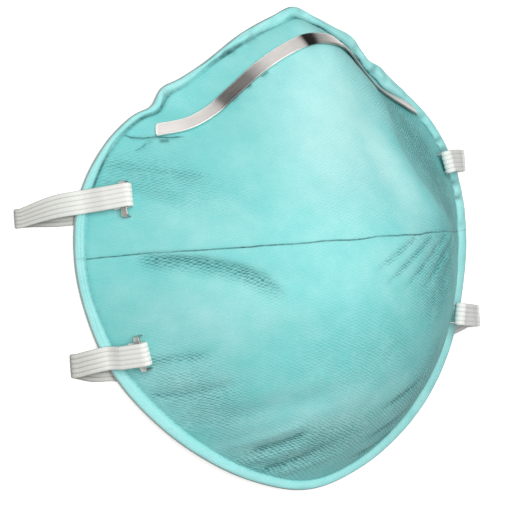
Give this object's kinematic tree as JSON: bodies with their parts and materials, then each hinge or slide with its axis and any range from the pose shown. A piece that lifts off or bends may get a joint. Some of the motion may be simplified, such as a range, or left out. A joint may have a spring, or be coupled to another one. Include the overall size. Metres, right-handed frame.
{
  "type": "disposable cup respirator",
  "caption": "Moulded cup respirator of pale teal nonwoven with a puckered flange, a bent aluminium nose clip and white elastic headbands stapled to its cheeks.",
  "frame": {"origin": "on the floor, in the middle of the whole part's footprint", "axes": "+Z out of the front of the cup, +Y from the chin to the nose, +X towards the wearer's left"},
  "size_m": [0.1374, 0.125, 0.0503],
  "materials": {
    "nonwoven_teal": "calendered nonwoven with fine bonding marks",
    "clip_aluminium": "bare rolled strip",
    "elastic_white": "braided elastic",
    "staple_wire": "galvanised flat wire"
  },
  "bodies": {
    "root": {"cup_body": "nonwoven_teal", "nose_clip": "clip_aluminium", "headband_upper": "elastic_white", "headband_lower": "elastic_white", "staple_upper_left": "staple_wire", "staple_upper_right": "staple_wire", "staple_lower_left": "staple_wire", "staple_lower_right": "staple_wire"}
  },
  "joints": []
}
